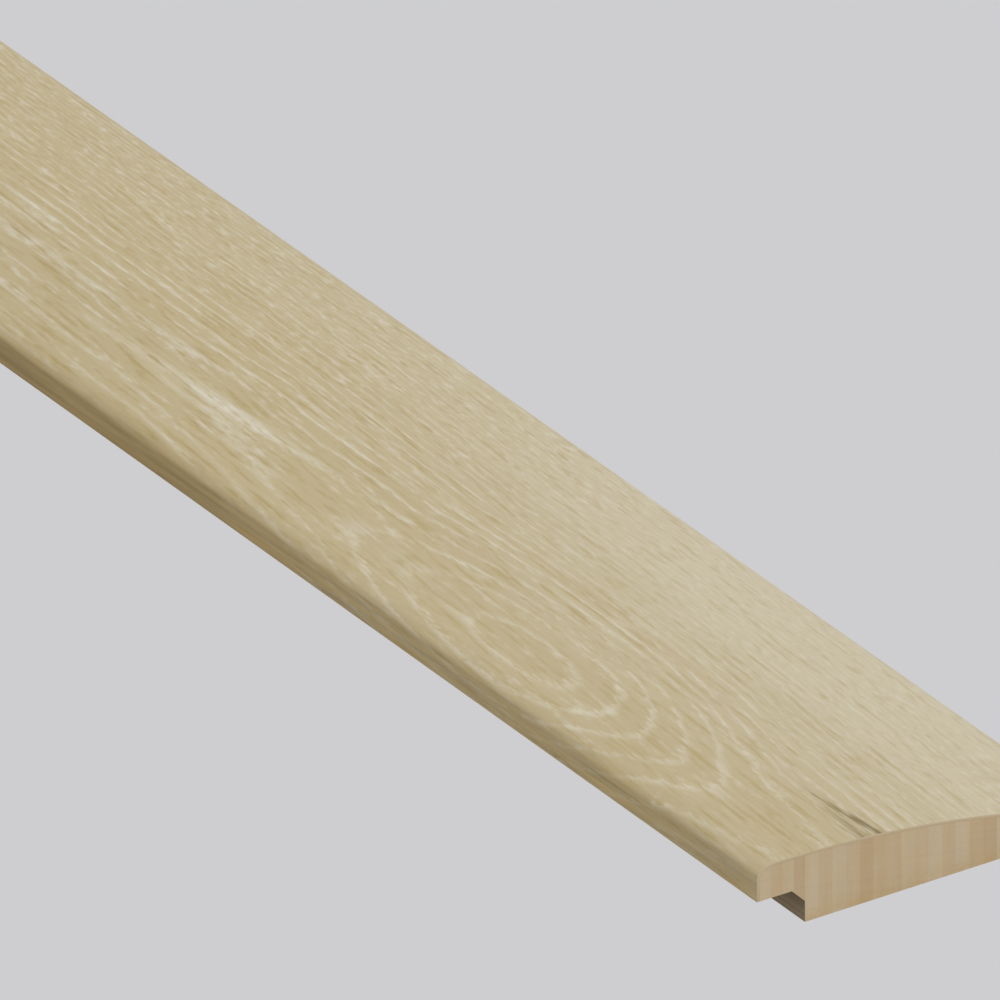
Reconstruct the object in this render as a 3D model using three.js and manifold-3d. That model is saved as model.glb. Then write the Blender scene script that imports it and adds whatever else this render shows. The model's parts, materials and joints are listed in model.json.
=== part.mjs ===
// Threshold strip: an overlap reducer for a doorway, moulded from a laminated wood core
// that is wrapped in a thin face veneer. The lip hangs over the edge of a floor covering,
// and the top sweeps down to a thin far edge on the lower side.
// Millimetres. X runs along the strip, Y across it from the lip to the far edge, and Z is up.
// The origin is on the floor under the middle of the strip.
import * as THREE from 'three';
import { mergeVertices } from 'three/addons/utils/BufferGeometryUtils.js';
import Module from 'manifold-3d';

// Overall sizes
const LENGTH = 900;
const WIDTH = 72;
const CROWN_HEIGHT = 13.9;     // floor to the highest line of the top
const FAR_EDGE_HEIGHT = 3.8;   // floor to the corner where the top meets the far edge

// The rounded nose along the lip
const NOSE_REACH = 4.2;        // how far across the strip the rounding goes
const NOSE_DROP = 2.4;         // how far down the lip face it goes

// The rebate that takes the edge of the floor covering
const LIP_SEAT = 7;            // floor to the underside of the lip
const LIP_REACH = 10.2;        // outside of the lip to the riser
const INNER_CHAMFER = 2.8;     // 45 degree slope left in the corner of the rebate

// The wrap and the core
const VENEER = 0.6;
const FAR_ROUNDING = 1.2;      // easing of the corner where the top meets the far edge
const VENEER_TRIM = 0.3;       // the wrap stops this far above the floor at the far edge
const GLUE_LINE = 0.05;        // clearance between any two glued pieces
const LIP_PLIES = 4;           // upright plies in the overhanging lip
const BODY_PLIES = 21;         // upright plies from the riser to the far edge

const CURVE_STEPS = 36;        // facets along each curve of the section

// Lines that several pieces share
const lipFace = -WIDTH / 2;
const farEdge = WIDTH / 2;
const riser = lipFace + LIP_REACH;
const crownLine = lipFace + NOSE_REACH;

// One arc sweeps from the crown line, where it is level, to the far edge's corner.
const sweepRun = farEdge - crownLine;
const sweepDrop = CROWN_HEIGHT - FAR_EDGE_HEIGHT;
const sweepRadius = (sweepRun ** 2 + sweepDrop ** 2) / (2 * sweepDrop);
const sweepCentre = CROWN_HEIGHT - sweepRadius;

// Height of the sweep at y, for a surface a given depth below the finished face.
function sweepHeight(y, depth) {
  return sweepCentre + Math.sqrt((sweepRadius - depth) ** 2 - (y - crownLine) ** 2);
}

// Section line of the finished face, or of a surface a given depth below it:
// up the lip face, round the nose, along the sweep, round the far corner and down.
function faceLine(depth, farFoot) {
  const line = new THREE.Path();
  const noseFoot = CROWN_HEIGHT - NOSE_DROP;
  line.moveTo(lipFace + depth, LIP_SEAT);
  line.lineTo(lipFace + depth, noseFoot);
  line.absellipse(crownLine, noseFoot, NOSE_REACH - depth, NOSE_DROP - depth, Math.PI, Math.PI / 2, true);

  const far = farEdge - depth;
  const rounding = FAR_ROUNDING - depth;
  const sweepEnd = Math.acos((far - rounding - crownLine) / (sweepRadius - depth));
  line.absarc(crownLine, sweepCentre, sweepRadius - depth, Math.PI / 2, sweepEnd, true);
  const corner = sweepHeight(far, depth);
  line.quadraticCurveTo(far, corner, far, corner - rounding);
  line.lineTo(far, farFoot);
  return line.getPoints(CURVE_STEPS);
}

// A section in Y and Z, run the length of the strip.
function runAlongX(points) {
  const shape = new THREE.Shape(points);
  const geometry = new THREE.ExtrudeGeometry(shape, { depth: LENGTH, bevelEnabled: false });
  const acrossUpAlong = new THREE.Matrix4().makeBasis(
    new THREE.Vector3(0, 1, 0), new THREE.Vector3(0, 0, 1), new THREE.Vector3(1, 0, 0));
  geometry.applyMatrix4(acrossUpAlong);
  geometry.translate(-LENGTH / 2, 0, 0);
  return geometry;
}

// Cutting the core into plies
const wasm = await Module();
wasm.setup();

function toSolid(geometry) {
  const bare = geometry.clone();
  bare.deleteAttribute('normal');
  bare.deleteAttribute('uv');
  const merged = mergeVertices(bare);
  return new wasm.Manifold(new wasm.Mesh({
    numProp: 3,
    vertProperties: new Float32Array(merged.attributes.position.array),
    triVerts: new Uint32Array(merged.index.array),
  }));
}

function toGeometry(solid) {
  const mesh = solid.getMesh();
  const geometry = new THREE.BufferGeometry();
  geometry.setAttribute('position', new THREE.BufferAttribute(mesh.vertProperties, mesh.numProp));
  geometry.setIndex(new THREE.BufferAttribute(mesh.triVerts, 1));
  geometry.computeVertexNormals();
  return geometry;
}

// The assembly
const strip = new THREE.Group();

function addPiece(name, geometry, material) {
  const piece = new THREE.Mesh(geometry, material);
  piece.name = name;
  strip.add(piece);
}

// Face veneer: one sheet wrapped from the lip's lower edge over the top and down the far edge.
function faceVeneer() {
  const outside = faceLine(0, VENEER_TRIM);
  const inside = faceLine(VENEER, VENEER_TRIM);
  return runAlongX([...outside, ...inside.reverse()]);
}

const veneerFinish = new THREE.MeshStandardMaterial({ color: 0xc3b697, roughness: 0.55, metalness: 0 });
addPiece('face_veneer', faceVeneer(), veneerFinish);

// Core: moulded as one block under the veneer, with the rebate run along its lip side.
function coreBlock() {
  const top = faceLine(VENEER + GLUE_LINE, 0);
  const rebate = [
    new THREE.Vector2(riser, 0),
    new THREE.Vector2(riser, LIP_SEAT - INNER_CHAMFER),
    new THREE.Vector2(riser - INNER_CHAMFER, LIP_SEAT),
  ];
  return toSolid(runAlongX([...top, ...rebate]));
}

// Plies: the block parted by upright glue lines into equal plies between two lines across it.
const ply = (color) => new THREE.MeshStandardMaterial({ color, roughness: 0.8, metalness: 0 });
const pale = ply(0xb6a588);
const tan = ply(0xb4a181);
const dark = ply(0xad9979);
const lipTones = [pale, tan, pale, dark];
const bodyTones = [
  pale, tan, pale, tan, dark, tan, tan, pale, tan, pale, tan,
  pale, tan, dark, pale, tan, dark, pale, tan, pale, tan,
];

function addPlies(prefix, count, tones, from, to) {
  const pitch = (to - from + GLUE_LINE) / count;
  const thickness = pitch - GLUE_LINE;
  const slab = new THREE.BoxGeometry(LENGTH + 2, thickness, 2 * CROWN_HEIGHT);
  for (let i = 0; i < count; i += 1) {
    const middle = from + pitch * i + thickness / 2;
    const cut = core.intersect(toSolid(slab.clone().translate(0, middle, 0)));
    const name = prefix + String(i + 1).padStart(2, '0');
    addPiece(name, toGeometry(cut), tones[i % tones.length]);
  }
}

const core = coreBlock();
addPlies('lip_ply_', LIP_PLIES, lipTones, lipFace + VENEER + GLUE_LINE, riser - GLUE_LINE);
addPlies('body_ply_', BODY_PLIES, bodyTones, riser, farEdge - VENEER - GLUE_LINE);

export default strip;
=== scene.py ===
"""Threshold strip: an overlap reducer of upright plies under a wrapped sheet of limed oak.

Metres. X runs along the strip, Y across it from the lip to the far edge, and Z is up.
"""

import json
import math

import bpy
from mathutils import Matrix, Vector


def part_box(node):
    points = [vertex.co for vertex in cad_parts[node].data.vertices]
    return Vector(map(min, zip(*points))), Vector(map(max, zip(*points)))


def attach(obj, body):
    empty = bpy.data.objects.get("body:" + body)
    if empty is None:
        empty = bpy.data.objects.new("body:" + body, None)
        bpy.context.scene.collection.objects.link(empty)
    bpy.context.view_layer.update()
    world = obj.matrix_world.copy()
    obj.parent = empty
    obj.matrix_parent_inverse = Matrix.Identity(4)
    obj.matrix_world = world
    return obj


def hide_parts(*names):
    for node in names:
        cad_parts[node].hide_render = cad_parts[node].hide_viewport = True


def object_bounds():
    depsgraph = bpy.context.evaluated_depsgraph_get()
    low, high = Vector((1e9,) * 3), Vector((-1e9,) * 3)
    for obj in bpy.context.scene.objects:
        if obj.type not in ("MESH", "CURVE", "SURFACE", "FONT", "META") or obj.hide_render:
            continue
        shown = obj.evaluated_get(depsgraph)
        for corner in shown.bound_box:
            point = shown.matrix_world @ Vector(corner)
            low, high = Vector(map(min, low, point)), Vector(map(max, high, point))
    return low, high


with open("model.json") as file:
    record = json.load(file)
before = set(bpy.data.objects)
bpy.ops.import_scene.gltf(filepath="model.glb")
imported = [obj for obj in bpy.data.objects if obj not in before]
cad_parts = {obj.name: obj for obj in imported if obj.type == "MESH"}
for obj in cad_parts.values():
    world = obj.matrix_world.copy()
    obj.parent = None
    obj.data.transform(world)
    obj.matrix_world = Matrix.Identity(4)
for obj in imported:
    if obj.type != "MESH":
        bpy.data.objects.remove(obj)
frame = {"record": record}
cad_low, cad_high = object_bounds()

MM = 0.001

# ---------------------------------------------------------------- the strip's sizes

LENGTH = cad_high.x - cad_low.x
LIP_FACE = cad_low.y
FAR_EDGE = cad_high.y
CROWN = cad_high.z
NEAR_END = cad_high.x
FAR_END = cad_low.x
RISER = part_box("body_ply_01")[0].y
LIP_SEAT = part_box("lip_ply_01")[0].z
VENEER_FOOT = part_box("face_veneer")[0].z

VENEER = 0.6 * MM
NOSE_REACH = 4.2 * MM
NOSE_DROP = 2.4 * MM
FAR_CORNER = 3.8 * MM            # floor to the corner where the sweep meets the far edge
FAR_ROUNDING = 1.2 * MM
INNER_CHAMFER = 2.8 * MM
ARRIS = 0.03 * MM                # the sanded-off sharpness of the sheet's cut edges

LIP_PLIES = [f"lip_ply_{n:02d}" for n in range(1, 5)]
BODY_PLIES = [f"body_ply_{n:02d}" for n in range(1, 22)]

CROWN_LINE = LIP_FACE + NOSE_REACH
NOSE_FOOT = CROWN - NOSE_DROP
SWEEP_RUN = FAR_EDGE - CROWN_LINE
SWEEP_DROP = CROWN - FAR_CORNER
SWEEP_RADIUS = (SWEEP_RUN**2 + SWEEP_DROP**2) / (2 * SWEEP_DROP)

# How finely the curves are made, and how closely points have to agree.
NOSE_STEPS = 16
SWEEP_STEPS = 48
ROUNDING_STEPS = 6
ARRIS_STEPS = 2
SMOOTH_UNDER = math.radians(25)  # edges that turn less than this are shaded as one curve
SHARP_OVER = math.radians(60)    # edges that turn more than this get the arris
SAME_PLACE = 0.002 * MM
MERGED_UNDER = 0.005 * MM
ON_THE_CUT = 0.001 * MM

# ---------------------------------------------------------------- camera

VIEW_AZIMUTH = math.radians(56.17)
VIEW_HEIGHT = math.radians(28.27)
AIM = Vector((NEAR_END - 142.67 * MM, LIP_FACE + 41.46 * MM, 10.9 * MM))
FRAME_WIDTH = 177.82 * MM        # how much of the strip's space the picture takes in at the aim
LENS = 1650                      # a very long lens, which keeps the strip's edges all but parallel
SENSOR = 36


def place_camera():
    camera = bpy.data.objects.new("camera", bpy.data.cameras.new("camera"))
    bpy.context.scene.collection.objects.link(camera)
    camera.data.lens = LENS
    camera.data.sensor_width = SENSOR
    distance = FRAME_WIDTH * LENS / SENSOR
    back = Vector((
        math.sin(VIEW_AZIMUTH) * math.cos(VIEW_HEIGHT),
        -math.cos(VIEW_AZIMUTH) * math.cos(VIEW_HEIGHT),
        math.sin(VIEW_HEIGHT),
    ))
    camera.location = AIM + back * distance
    camera.rotation_mode = "QUATERNION"
    camera.rotation_quaternion = (-back).to_track_quat("-Z", "Y")
    camera.data.clip_start = 0.1
    camera.data.clip_end = 100
    bpy.context.scene.camera = camera


place_camera()

# ---------------------------------------------------------------- how a finish is written


class Wire:
    """What comes out of a node, wrapped so that maths on it reads as plain Python."""

    def __init__(self, nodes, socket):
        self.nodes = nodes
        self.socket = socket

    def math(self, operation, *others):
        return self.nodes.node("ShaderNodeMath", {"operation": operation}, [self, *others])

    def __add__(self, other):
        return self.math("ADD", other)

    def __sub__(self, other):
        return self.math("SUBTRACT", other)

    def __rsub__(self, other):
        return self.nodes.node("ShaderNodeMath", {"operation": "SUBTRACT"}, [other, self])

    def __mul__(self, other):
        return self.math("MULTIPLY", other)

    def __truediv__(self, other):
        return self.math("DIVIDE", other)

    __radd__ = __add__
    __rmul__ = __mul__

    def squared(self):
        return self.math("MULTIPLY", self)

    def size(self):
        """The value without its sign."""
        return self.math("ABSOLUTE")

    def at_least(self, low):
        return self.math("MAXIMUM", low)

    def at_most(self, high):
        return self.math("MINIMUM", high)

    def share(self):
        """The value held between 0 and 1."""
        return self.at_least(0.0).at_most(1.0)

    def rise(self, low, high):
        """0 below low and 1 above high, with a smooth rise between them."""
        settings = {"interpolation_type": "SMOOTHSTEP"}
        sockets = {"Value": self, "From Min": low, "From Max": high}
        return self.nodes.node("ShaderNodeMapRange", settings, sockets)


class Nodes:
    """A node tree, and the one way of adding a node to it."""

    def __init__(self, tree):
        self.tree = tree

    def node(self, kind, settings, sockets, output=0):
        """Adds a node. Its settings come first, as they may change which sockets it has."""
        made = self.tree.nodes.new(kind)
        for key, value in settings.items():
            if key == "stops":
                self.set_stops(made.color_ramp, value)
            else:
                setattr(made, key, value)
        pairs = sockets.items() if isinstance(sockets, dict) else enumerate(sockets)
        for key, value in pairs:
            self.feed(made.inputs[key], value)
        return Wire(self, made.outputs[output])

    @staticmethod
    def set_stops(ramp, stops):
        while len(ramp.elements) < len(stops):
            ramp.elements.new(0.5)
        for element, (place, level) in zip(ramp.elements, stops):
            element.position = place
            element.color = (level, level, level, 1)

    def feed(self, socket, value):
        if isinstance(value, Wire):
            self.tree.links.new(value.socket, socket)
        else:
            socket.default_value = value

    def show(self, output, shader):
        """Makes a shader the one that the tree's output node shows."""
        self.feed(self.tree.nodes[output].inputs["Surface"], shader)


class Finish(Nodes):
    """A material and its Principled shader."""

    def __init__(self, name, **constants):
        self.material = bpy.data.materials.new(name)
        self.material.use_nodes = True
        super().__init__(self.material.node_tree)
        self.shader = self.tree.nodes["Principled BSDF"]
        self.paint(**constants)

    def paint(self, **sockets):
        """Sets the shader's sockets, each named with _ for a space."""
        for socket, value in sockets.items():
            self.feed(self.shader.inputs[socket.replace("_", " ")], value)

    def relief(self, height, depth):
        """Raises and sinks the surface, by depth for each whole step of height."""
        sockets = {"Strength": 1.0, "Distance": depth, "Height": height}
        self.paint(Normal=self.node("ShaderNodeBump", {}, sockets))

    def point(self, x, y, z):
        return self.node("ShaderNodeCombineXYZ", {}, [x, y, z])

    def parts(self, vector):
        return [self.node("ShaderNodeSeparateXYZ", {}, [vector], axis) for axis in "XYZ"]

    def noise(self, x, y, z, detail=2.0, roughness=0.5):
        """A soft random pattern, about 0.5. A plain number for z only keeps it from matching another."""
        sockets = {"Vector": self.point(x, y, z), "Scale": 1.0, "Detail": detail, "Roughness": roughness}
        return self.node("ShaderNodeTexNoise", {}, sockets)

    def blend(self, amount, first, second):
        """first where amount is 0, second where it is 1; both are colours."""
        return self.node("ShaderNodeMix", {"data_type": "RGBA"}, {0: amount, 6: first, 7: second}, 2)

    def shade(self, colour, level):
        """A colour made lighter or darker by a level that is 1 where it stays as it is."""
        grey = self.point(level, level, level)
        return self.node("ShaderNodeVectorMath", {"operation": "MULTIPLY"}, [colour, grey])


def tint(red, green, blue):
    """A colour as it is mixed at the bench, 0 to 255, in the shader's linear light."""
    def linear(level):
        share = level / 255
        return share / 12.92 if share <= 0.04045 else ((share + 0.055) / 1.055) ** 2.4
    return (linear(red), linear(green), linear(blue), 1)


# ---------------------------------------------------------------- limed oak

GRAIN_MAP = "grain"              # metres along the sheet from the near end, and across it from the nose
GRAIN_TILT = 0.05                # how far the pores drift across the sheet for each step along it
RING_WIDTH = 4.9                 # millimetres from one growth ring to the next, near the heart
CLOSE_RINGS = 10.0               # distance from the heart beyond which the rings draw closer together
BOARD = 900                      # millimetres along the board that the two lists below reach
FARTHEST = 40                    # millimetres that none of their second numbers passes

# How deep the heart of the tree lies under the sheet, as (millimetres from the near end, depth).
# It comes up to the face at each set of nested arches.
HEART_DEPTH = [
    (0, 20.3), (28, 18.6), (41, 15.8), (52, 13.0), (62, 9.8), (73, 4.9), (89, 0.0), (106, 4.9), (126, 9.8),
    (142, 13.0), (176, 15.2), (217, 16.6), (260, 17.2), (345, 17.0), (430, 19.0), (520, 14.0), (584, 0.0),
    (640, 11.0), (720, 16.0), (800, 13.5), (900, 17.0),
]
# Where the heart lies across the sheet, the same way.
HEART_LINE = [
    (0, 10.0), (95, 10.5), (142, 11.8), (176, 14.3), (200, 16.5), (330, 17.5), (450, 30.0), (600, 33.0),
    (900, 24.0),
]
# Patches where the lime took heavily: along, across, half length, half width, slope, and strength.
LIME_PATCHES = [
    (208, 17.6, 44, 3.0, -0.055, 1.0), (207, 14.0, 16, 1.8, 0.0, 0.7), (172, 10.4, 14, 1.4, 0.0, 0.7),
    (29, 8.0, 7, 4.0, 0.0, 0.3), (107, 8.6, 9, 1.4, 0.0, 0.7), (127, 11.0, 14, 3.4, 0.0, 0.6),
]

OAK = tint(187, 172, 135)
# Paler, greyer oak for the far slope: the oak's own grey, and partly painted light.
OAK_FAR_SIDE_LIT_AND_GREY = tint(199, 188, 160)
OAK_GOLDEN = tint(190, 172, 126)
OAK_TOASTED = tint(184, 165, 126)
OAK_PORES = tint(175, 156, 108)
# Browner oak for the lip face: partly stain, partly painted shade.
OAK_LIP_STAIN_AND_SHADE = tint(182, 162, 114)
OAK_FAR_LIP_STAIN_AND_SHADE = tint(169, 147, 102)
LIME = tint(213, 206, 187)
LIME_HAZE = tint(207, 197, 168)
KNOT_STAIN = tint(160, 143, 98)
KNOT_FLECK = tint(126, 109, 68)


class LimedOak(Finish):
    """The sheet's oak, in millimetres along it from the near end and across it from the nose."""

    def __init__(self):
        super().__init__("limed_oak", Roughness=0.55, IOR=1.45)
        u, v, _ = self.parts(self.node("ShaderNodeUVMap", {"uv_map": GRAIN_MAP}, []))
        self.along, self.across = u / MM, v / MM
        self.tilted = self.across - self.along * GRAIN_TILT
        self.far_side = self.across.rise(30, 60)
        self.plain_corner = (1 - self.along.rise(12, 40)) * (1 - self.across.rise(8, 22))
        self.broad = self.noise(self.along / 160, self.across / 7, 60.0, detail=3) - 0.5
        self.fibre = self.noise(self.along / 5, self.across / 0.4, 71.0, detail=3, roughness=0.6) - 0.5
        self.lay_dashes()

    def lay_dashes(self):
        """The open pores of the oak, as dashes along the board.

        streaks are all of them together, comb is their finest teeth, and pores are those that stay brown.
        """
        long_dashes = self.noise(self.along / 19, self.tilted / 1.65, 20.0)
        self.short_dashes = self.noise(self.along / 3.2, self.tilted / 1.1, 31.0)
        long_share = 0.62 - self.far_side * 0.3
        short_share = 0.38 + self.far_side * 0.3
        self.streaks = long_dashes * long_share + self.short_dashes * short_share
        self.comb = self.noise(self.along / 3.5, self.tilted / 0.6, 140.0) - 0.5
        brown_dashes = self.noise(self.along / 11, self.tilted / 1.1, 47.0)
        pores = (brown_dashes * 0.55 + (1 - self.streaks) * 0.45).rise(0.49, 0.66)
        self.pores = pores * (1 - self.far_side * 0.40)

    def along_board(self, stops):
        """A distance in millimetres that changes along the board, from a list of places and distances."""
        level = self.node(
            "ShaderNodeValToRGB",
            {"stops": [(place / BOARD, distance / FARTHEST) for place, distance in stops]},
            [self.along / BOARD])
        return level * FARTHEST

    def spot(self, centre_along, centre_across, half_along, half_across, slope=0.0):
        """1 in the middle of a lens-shaped spot, falling to 0 at its edge and below 0 beyond it."""
        a = self.along - centre_along
        b = (self.across - centre_across - a * slope) / half_across
        return 1 - ((a / half_along).squared() + b.squared()).math("SQRT")

    def ring_lines(self):
        """The growth rings: lines of equal distance from the heart, which wander a little."""
        sway = self.noise(self.along / 60, self.across / 16, 3.0) - 0.5
        quiver = self.noise(self.along / 15, self.across / 4, 8.0) - 0.5
        strayed = self.across + sway * 1.6 + quiver * 0.8
        heart = strayed - self.along_board(HEART_LINE)
        depth = self.along_board(HEART_DEPTH) + quiver * 1.2
        reach = (heart.squared() + depth.squared()).math("SQRT")
        beyond = (reach - CLOSE_RINGS).at_least(0.0)
        ragged = (self.short_dashes - 0.5) * 0.35 + self.comb * 0.5
        ragged = ragged * (1 - self.along.rise(120, 175) * 0.65)
        rings = reach / RING_WIDTH + beyond * 0.10 + beyond.squared() * 0.0055 + ragged

        # 1 on a ring's line and 0 midway between two, each ring with a strength of its own.
        line = ((rings.math("FRACT") - 0.5) * 2).size()
        number = (rings + 0.5).math("FLOOR")
        strength = self.node("ShaderNodeTexWhiteNoise", {"noise_dimensions": "1D"}, {"W": number})
        broken = 1 - self.spot(124, 12.0, 26, 9.0).rise(0.0, 0.5) * 0.6 - self.across.rise(24, 50) * 0.3
        broken = broken - self.along.rise(140, 175) * (1 - self.across.rise(5, 12)) * 0.5
        return line.rise(0.60, 0.97) * (0.75 + strength * 0.25) * broken

    def lime_patches(self):
        """How much of the patches shows at each place, all of them added up."""
        patches = 0.0
        for *place, strength in LIME_PATCHES:
            patches = patches + self.spot(*place).rise(0.0, 0.9) * strength
        return patches

    def lime(self, patches):
        """Lime fills the pores along each ring's line, and some of the pores between."""
        on_line = self.ring_lines() + patches * 0.55
        scattered = (self.streaks + self.far_side * 0.02).rise(0.51, 0.76) * 0.85
        caught = on_line * (0.55 + (self.streaks - 0.5) * 3.2 + self.comb * 1.6)
        return caught.at_least(scattered).share() * (1 - self.plain_corner * 0.6)

    def tone(self, patches):
        """Yellower along the nose, paler and greyer to the far side, most of all at the near end. The grey
        is the oak's own; the far slope's paleness is partly painted light on a face turned towards the key.
        """
        greyer = (self.across - 14) / 46 - (self.along - 100).at_least(0.0) * 0.0045 + self.broad * 0.7
        golden = self.along.rise(90, 230) * (1 - self.along.rise(500, 700) * 0.5)

        # One browner streak, which leans in towards the nose near the end.
        toast_line = 33.5 - (75 - self.along).at_least(0.0) * 0.12
        toast = 1 - (self.across - toast_line).size().rise(0.6, 2.4)
        toast = toast * self.along.rise(30, 70) * (1 - self.along.rise(105, 160))

        body = self.blend(greyer.share(), OAK, OAK_FAR_SIDE_LIT_AND_GREY)
        body = self.blend(golden * 0.35, body, OAK_GOLDEN)
        body = self.blend(patches.at_most(1.0) * 0.25, body, LIME_HAZE)
        return self.blend(toast * 0.5, body, OAK_TOASTED)

    def knot(self, body):
        """The knot that the near end was sawn through: dark flecks in a stain, with paler wood between."""
        upper_fleck = self.spot(0, 26.1, 21, 1.4, slope=-0.11)
        lower_fleck = self.spot(0, 22.5, 19, 2.3, slope=0.08)
        stained = self.spot(0, 24.1, 34, 3.9).rise(0.0, 1.0)
        shreds = self.noise(self.along / 8, self.across / 0.6, 90.0, detail=4) - 0.5
        stain = stained * (0.35 + shreds * 2.0).at_least(0.0)
        fleck = (upper_fleck + shreds * 1.8).rise(0.05, 0.9)
        fleck = fleck + (lower_fleck + shreds * 1.8).rise(0.1, 1.2) * 0.65
        body = self.blend(stain, body, KNOT_STAIN)
        return self.blend(fleck.at_most(1.0) * 0.9, body, KNOT_FLECK)

    def finish(self):
        """Lays the parts over each other, from the wood's tone up to the lip face's stain and painted
        shade.
        """
        patches = self.lime_patches()
        lime = self.lime(patches)
        boldness = self.along.rise(100, 200) + self.plain_corner
        body = self.tone(patches)
        body = self.blend(self.pores * (0.72 + boldness * 0.3), body, OAK_PORES)
        body = self.blend(lime * (0.72 + boldness * 0.25), body, LIME)
        body = self.knot(body)

        # The lip's upright face and the turn of the nose: browner, and more so away from the near end;
        # partly stain, partly painted shade on faces turned from the light.
        lip_stain_and_shade = 1 - self.across.rise(-2.5, 2.5)
        drifting = self.across + self.along * 0.02
        lip_streaks = self.noise(self.along / 28, drifting / 0.9, 123.0, detail=3) - 0.5
        body = self.blend(lip_stain_and_shade * (0.35 + lip_streaks * 2.2).rise(0, 1), body, OAK_LIP_STAIN_AND_SHADE)
        body = self.blend(lip_stain_and_shade * self.along.rise(110, 200) * 0.8, body, OAK_FAR_LIP_STAIN_AND_SHADE)

        # A little lighter at the lip's foot near the end, and a little darker by the nose farther along.
        lip_foot = (1 - self.along.rise(8, 40)) * (1 - self.across.rise(-4.5, -2.2))
        nose_band = self.along.rise(150, 260) * (1 - self.across.rise(12, 45))
        level = 1 + self.fibre * 0.10 + self.broad * 0.06 + lip_stain_and_shade * lip_streaks
        level = level + lip_foot * 0.11 - nose_band * 0.04
        roughness = 0.52 + lime * 0.14 + self.pores * 0.12 + self.fibre * 0.1
        self.paint(Base_Color=self.shade(body, level), Roughness=roughness)
        self.relief(self.fibre * 0.35 - self.pores * 0.5 - lime * 0.25, 0.05 * MM)
        return self.material


# ---------------------------------------------------------------- the plies' wood

PLY_TONES = {
    "pale_ply": (tint(207, 190, 161), tint(203, 184, 150)),
    "tan_ply": (tint(204, 183, 151), tint(200, 177, 142)),
    "dark_ply": (tint(200, 178, 146), tint(195, 171, 135)),
}
GOLDEN_FOOT = tint(193, 166, 118)


def ply_wood(name, colour, streak_colour):
    """Peeled and glued plies, sawn square: upright streaks on the end, long ones on the sides, and painted
    shade in the rebate.
    """
    wood = Finish(name, Roughness=0.7, IOR=1.45)
    x, y, z = wood.parts(wood.node("ShaderNodeTexCoord", {}, [], "Object"))
    x, y, z = x / MM, y / MM, z / MM
    normal_x, _, _ = wood.parts(wood.node("ShaderNodeNewGeometry", {}, [], "Normal"))
    on_end = normal_x.size().rise(0.5, 0.9)
    on_side = 1 - on_end

    # The sawn end: bands that run on from ply to ply, upright streaks, end pores, and the saw's marks.
    bands = wood.noise(x / 900, y / 3.4, z / 40 + 7, detail=1) - 0.5
    streaks = wood.noise(x / 300, y / 0.9, z / 14) - 0.5
    mottle = wood.noise(x / 300, y / 4, z / 3.5 + 17) - 0.5
    pores = wood.noise(x / 3, y / 0.3, z / 0.36, roughness=0.6) - 0.5
    saw_marks = wood.noise(x / 90, y / 7 + z / 1.3, z / 6) - 0.5
    end_level = 1 + streaks * 0.13 + pores * 0.20 + saw_marks * 0.10 + mottle * 0.07
    end_tone = 0.35 + bands * 2.8 + mottle * 2.2 + streaks
    golden_foot = (1 - z.rise(0.2, 3.8)) * (0.7 + mottle * 2.0) * 0.55

    # The long sides: streaks along the strip, and painted shade on the rebate, which lies recessed under
    # the lip.
    long_streaks = wood.noise(x / 38, y / 0.7, z / 0.4 + 13, detail=3, roughness=0.6) - 0.5
    cloud = wood.noise(x / 16, y / 5, z / 3 + 29) - 0.5
    rebate_painted_shade = 1 - y.rise(RISER / MM + 0.2, RISER / MM + 0.6)
    # Painted shade: the riser, chamfer and lip underside are made much darker, standing in for the shadow
    # under the lip.
    side_level = 0.80 - rebate_painted_shade * 0.405 + long_streaks * 0.6 + cloud * 0.25
    side_tone = 0.75 - long_streaks * 2.0

    level = end_level * on_end + side_level * on_side
    tone = end_tone * on_end + side_tone * on_side
    body = wood.blend(tone.share(), colour, streak_colour)
    body = wood.blend(golden_foot.at_least(0.0) * on_end, body, GOLDEN_FOOT)
    wood.paint(Base_Color=wood.shade(body, level), Roughness=0.72 - pores * 0.2)
    height = (pores * 0.5 + saw_marks * 0.6 + streaks * 0.3) * on_end + long_streaks * on_side
    wood.relief(height, 0.05 * MM)
    return wood.material


def sheet_edge():
    """The oak sheet's own cut edge, toned like the plies that it lies against."""
    edge = Finish("sheet_edge", Roughness=0.7, IOR=1.45)
    x, y, z = edge.parts(edge.node("ShaderNodeTexCoord", {}, [], "Object"))
    pores = edge.noise(x / (2 * MM), y / (0.35 * MM), z / (0.3 * MM)) - 0.5
    body = edge.blend(pores + 0.5, tint(206, 188, 159), tint(203, 183, 151))
    edge.paint(Base_Color=edge.shade(body, 1 + pores * 0.15))
    edge.relief(pores, 0.02 * MM)
    return edge.material


# ---------------------------------------------------------------- modelling


def near(a, b):
    return abs(a - b) < SAME_PLACE


def pick(piece):
    """Makes a piece the only one selected, and the one that is worked on."""
    bpy.ops.object.select_all(action="DESELECT")
    piece.select_set(True)
    bpy.context.view_layer.objects.active = piece


def edit(piece):
    pick(piece)
    bpy.ops.object.mode_set(mode="EDIT")
    bpy.ops.mesh.select_mode(type="EDGE")
    bpy.ops.mesh.select_all(action="DESELECT")


def leave_edit():
    bpy.ops.object.mode_set(mode="OBJECT")


def select_edges(piece, wanted):
    """Selects, in edit mode, the edges of which both ends pass the test."""
    bpy.ops.mesh.select_all(action="DESELECT")
    leave_edit()
    points = [wanted(v.co) for v in piece.data.vertices]
    for edge in piece.data.edges:
        edge.select = all(points[i] for i in edge.vertices)
    bpy.ops.object.mode_set(mode="EDIT")


def extrude(move):
    bpy.ops.mesh.extrude_region_move(TRANSFORM_OT_translate={"value": move})


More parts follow.
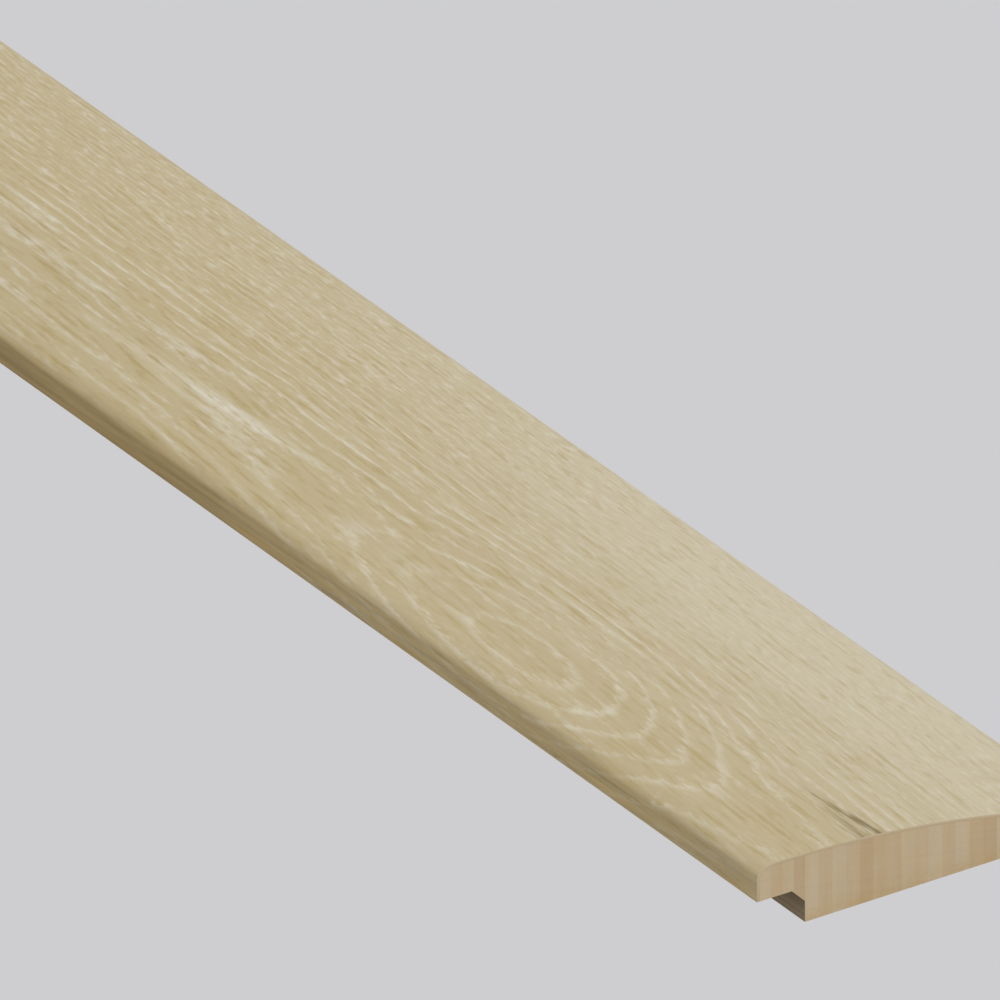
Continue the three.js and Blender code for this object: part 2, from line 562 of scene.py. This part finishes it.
def finish_piece(piece, modifiers=()):
    """Applies a piece's modifiers, and shades its curves smooth and its corners sharp."""
    pick(piece)
    for modifier in modifiers:
        bpy.ops.object.modifier_apply(modifier=modifier.name)
    bpy.ops.object.shade_smooth_by_angle(angle=SMOOTH_UNDER)


def hand_over(piece, node):
    """Lets a finished piece stand for its node of the CAD."""
    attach(piece, "root")
    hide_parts(node)


def section_sheet(name, depth, far_foot):
    """The finished face, or a surface a given depth below it, from the lip's lower edge to the far foot."""
    bpy.ops.object.select_all(action="DESELECT")
    middle = ((NEAR_END + FAR_END) / 2, LIP_FACE + depth, (LIP_SEAT + NOSE_FOOT) / 2)
    bpy.ops.mesh.primitive_plane_add(size=1, location=middle, rotation=(math.pi / 2, 0, 0))
    sheet = bpy.context.object
    sheet.name = sheet.data.name = name
    sheet.scale = (LENGTH, NOSE_FOOT - LIP_SEAT, 1)
    pick(sheet)
    bpy.ops.object.transform_apply(location=True, rotation=True, scale=True)

    # Round the nose: a quarter turn, pressed down to the nose's height.
    edit(sheet)
    nose_centre = (0, CROWN_LINE, NOSE_FOOT)
    press = (NOSE_DROP - depth) / (NOSE_REACH - depth)
    select_edges(sheet, lambda p: near(p.z, NOSE_FOOT))
    bpy.ops.mesh.spin(steps=NOSE_STEPS, angle=math.pi / 2, center=nose_centre, axis=(1, 0, 0))
    select_edges(sheet, lambda p: p.z > NOSE_FOOT - SAME_PLACE)
    bpy.ops.transform.resize(value=(1, 1, press), center_override=nose_centre)

    # Down the sweep to the far corner, then down the far edge.
    radius = SWEEP_RADIUS - depth
    far = FAR_EDGE - depth
    centre = CROWN - SWEEP_RADIUS
    turn = math.asin((far - CROWN_LINE) / radius)
    corner = centre + math.sqrt(radius**2 - (far - CROWN_LINE) ** 2)
    select_edges(sheet, lambda p: near(p.y, CROWN_LINE))
    bpy.ops.mesh.spin(steps=SWEEP_STEPS, angle=turn, center=(0, CROWN_LINE, centre), axis=(1, 0, 0))
    select_edges(sheet, lambda p: near(p.y, far))
    extrude((0, 0, far_foot - corner))
    select_edges(sheet, lambda p: near(p.y, far) and near(p.z, corner))
    bpy.ops.mesh.bevel(offset=FAR_ROUNDING - depth, segments=ROUNDING_STEPS, affect="EDGES")
    leave_edit()
    return sheet


def section_key(place):
    return (round(place.y / MM, 3), round(place.z / MM, 3))


def lengths_round(sheet):
    """How far each place on the sheet's section lies from the lip's lower edge, over the nose."""
    points = [v.co for v in sheet.data.vertices]
    onward = {}
    for edge in sheet.data.edges:
        a, b = edge.vertices
        if near(points[a].x, NEAR_END) and near(points[b].x, NEAR_END):
            onward.setdefault(a, []).append(b)
            onward.setdefault(b, []).append(a)
    here = next(i for i in onward if near(points[i].z, LIP_SEAT) and near(points[i].y, LIP_FACE))
    walked = {here: 0.0}
    while True:
        ahead = [i for i in onward[here] if i not in walked]
        if not ahead:
            return {section_key(points[i]): length for i, length in walked.items()}
        walked[ahead[0]] = walked[here] + (points[ahead[0]] - points[here]).length
        here = ahead[0]


def lay_grain(sheet):
    """Lays the grain over the sheet, by each point's distance from the near end and round the section.

    Across the sheet, the crown line lies as far from 0 as the nose reaches.
    """
    lengths = lengths_round(sheet)
    crown = lengths[section_key(Vector((NEAR_END, CROWN_LINE, CROWN)))]
    grain = sheet.data.uv_layers.new(name=GRAIN_MAP)
    for loop in sheet.data.loops:
        place = sheet.data.vertices[loop.vertex_index].co
        across = lengths[section_key(place)] - crown + NOSE_REACH
        grain.data[loop.index].uv = (NEAR_END - place.x, across)


def face_veneer():
    """The wrapped sheet: the finished face, given its thickness inwards and a trace of an arris."""
    sheet = section_sheet("oak_veneer", 0.0, VENEER_FOOT)
    lay_grain(sheet)
    sheet.data.materials.append(LimedOak().finish())
    sheet.data.materials.append(sheet_edge())
    thickness = sheet.modifiers.new("thickness", "SOLIDIFY")
    thickness.thickness = VENEER
    thickness.offset = -1
    thickness.use_even_offset = True
    thickness.material_offset_rim = 1
    arris = sheet.modifiers.new("arris", "BEVEL")
    arris.width = ARRIS
    arris.segments = ARRIS_STEPS
    arris.limit_method = "ANGLE"
    arris.angle_limit = SHARP_OVER
    finish_piece(sheet, [thickness, arris])
    hand_over(sheet, "face_veneer")


def core_block():
    """The laminated core before it is parted.

    It is the surface under the sheet, closed along the floor, the rebate and the two ends.
    """
    core = section_sheet("core", VENEER, 0.0)
    edit(core)
    select_edges(core, lambda p: near(p.z, 0.0))
    rebate = [
        (RISER, 0.0),
        (RISER, LIP_SEAT - INNER_CHAMFER),
        (RISER - INNER_CHAMFER, LIP_SEAT),
        (LIP_FACE + VENEER, LIP_SEAT),
    ]
    for across, up in rebate:
        leave_edit()
        picked = next(e for e in core.data.edges if e.select)
        here = core.data.vertices[picked.vertices[0]].co.copy()
        bpy.ops.object.mode_set(mode="EDIT")
        extrude((0, across - here.y, up - here.z))
    bpy.ops.mesh.select_all(action="SELECT")
    bpy.ops.mesh.remove_doubles(threshold=MERGED_UNDER)
    for end in (NEAR_END, FAR_END):
        select_edges(core, lambda p, end=end: near(p.x, end))
        bpy.ops.mesh.edge_face_add()
    bpy.ops.mesh.select_all(action="SELECT")
    bpy.ops.mesh.normals_make_consistent(inside=False)
    leave_edit()
    return core


def saw(piece, across, keep_far_side):
    """Parts a block along an upright line across it, and closes the cut."""
    edit(piece)
    bpy.ops.mesh.select_all(action="SELECT")
    bpy.ops.mesh.bisect(
        plane_co=(0, across, 0), plane_no=(0, 1, 0), threshold=ON_THE_CUT, use_fill=True,
        clear_inner=keep_far_side, clear_outer=not keep_far_side)
    leave_edit()


def copy_of(block, name):
    piece = block.copy()
    piece.data = block.data.copy()
    piece.name = piece.data.name = name
    bpy.context.scene.collection.objects.link(piece)
    return piece


def plies():
    """The upright plies, sawn out of one block along the middle of each glue line."""
    names = LIP_PLIES + BODY_PLIES
    slots = {row["node"]: row["material_slot"] for row in frame["record"]["subparts"]}
    woods = {slot: ply_wood(slot, *colours) for slot, colours in PLY_TONES.items()}
    glue_lines = [(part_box(a)[1].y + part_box(b)[0].y) / 2 for a, b in zip(names, names[1:])]
    core = core_block()
    for name, nearer, farther in zip(names, [None, *glue_lines], [*glue_lines, None]):
        ply = copy_of(core, name.replace("ply", "lamination"))
        if nearer is not None:
            saw(ply, nearer, keep_far_side=True)
        if farther is not None:
            saw(ply, farther, keep_far_side=False)
        ply.data.materials.append(woods[slots[name]])
        finish_piece(ply)
        hand_over(ply, name)
    bpy.data.objects.remove(core)


# ---------------------------------------------------------------- the studio

PAPER = (0.617, 0.617, 0.631, 1)         # what is seen behind and below the strip
AIR_LIGHT = (0.74, 0.74, 0.74, 1)        # the even light that falls from all round
FLOOR_GLOW = (0.42, 0.375, 0.30, 1)      # the dim, warm light that the floor throws up
FLOOR_RADIUS = 60
FLOOR_SIDES = 96
FLOOR_GAP = 0.02 * MM                    # keeps the floor clear of the underside
KEY_STRENGTH = 0.96
KEY_SOFTNESS = math.radians(50)
KEY_FROM = Vector((0.58, 0.16, 0.80))


def studio_floor():
    """A pale sweep that is seen as even as paper, and that throws up only a dim, warm light."""
    bpy.ops.object.select_all(action="DESELECT")
    bpy.ops.mesh.primitive_circle_add(
        vertices=FLOOR_SIDES, radius=FLOOR_RADIUS, fill_type="NGON", location=(0, 0, -FLOOR_GAP))
    floor = bpy.context.object
    floor.name = "studio_floor"
    sweep = Finish("studio_sweep")
    seen = sweep.node("ShaderNodeLightPath", {}, [], "Is Camera Ray")
    paper = sweep.node("ShaderNodeEmission", {}, {"Color": PAPER})
    glow = sweep.node("ShaderNodeEmission", {}, {"Color": FLOOR_GLOW})
    sweep.show("Material Output", sweep.node("ShaderNodeMixShader", {}, [seen, glow, paper]))
    sweep.tree.nodes.remove(sweep.shader)
    floor.data.materials.append(sweep.material)


def key_lamp():
    """A distant soft light, which shines evenly along the whole strip."""
    light = bpy.data.lights.new("key", "SUN")
    light.energy = KEY_STRENGTH
    light.angle = KEY_SOFTNESS
    holder = bpy.data.objects.new("key", light)
    bpy.context.scene.collection.objects.link(holder)
    holder.rotation_mode = "QUATERNION"
    holder.rotation_quaternion = KEY_FROM.to_track_quat("Z", "Y")


def studio_air():
    """Even light from all round, in front of the same paper."""
    world = bpy.data.worlds.new("studio_air")
    world.use_nodes = True
    air = Nodes(world.node_tree)
    air.tree.nodes.remove(air.tree.nodes["Background"])
    seen = air.node("ShaderNodeLightPath", {}, [], "Is Camera Ray")
    light = air.node("ShaderNodeBackground", {}, {"Color": AIR_LIGHT})
    paper = air.node("ShaderNodeBackground", {}, {"Color": PAPER})
    air.show("World Output", air.node("ShaderNodeMixShader", {}, [seen, light, paper]))
    bpy.context.scene.world = world


# ---------------------------------------------------------------- making it

face_veneer()
plies()
studio_floor()
key_lamp()
studio_air()
bpy.context.scene.view_settings.view_transform = "Standard"
